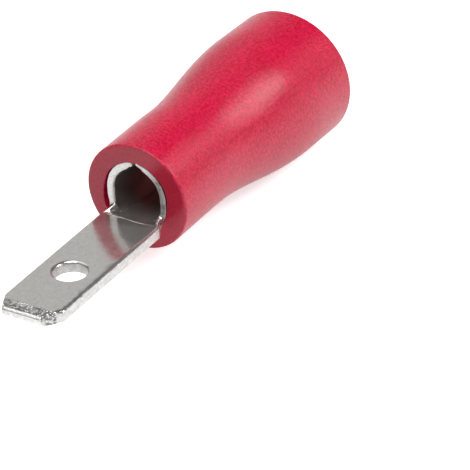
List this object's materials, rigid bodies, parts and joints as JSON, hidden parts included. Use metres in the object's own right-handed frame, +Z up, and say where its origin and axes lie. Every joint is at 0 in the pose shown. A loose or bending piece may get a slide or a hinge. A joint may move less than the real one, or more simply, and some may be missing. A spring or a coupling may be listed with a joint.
{
  "type": "insulated male spade terminal",
  "caption": "Male spade crimp terminal: flat blade with a detent hole, rolled wire barrel with a butt seam, and a flared soft sleeve pressed over the barrel.",
  "frame": {"origin": "middle of the part's length and width, on the ground under the sleeve's flare", "axes": "+Y along the barrel from the blade's tip towards the wire entry, +Z up through the barrel's seam, X across the blade"},
  "size_m": [0.006, 0.0204, 0.0061],
  "materials": {
    "tinned_brass": "satin",
    "red_pvc": "satin"
  },
  "bodies": {
    "root": {"terminal": "tinned_brass", "insulating_sleeve": "red_pvc"}
  },
  "joints": []
}
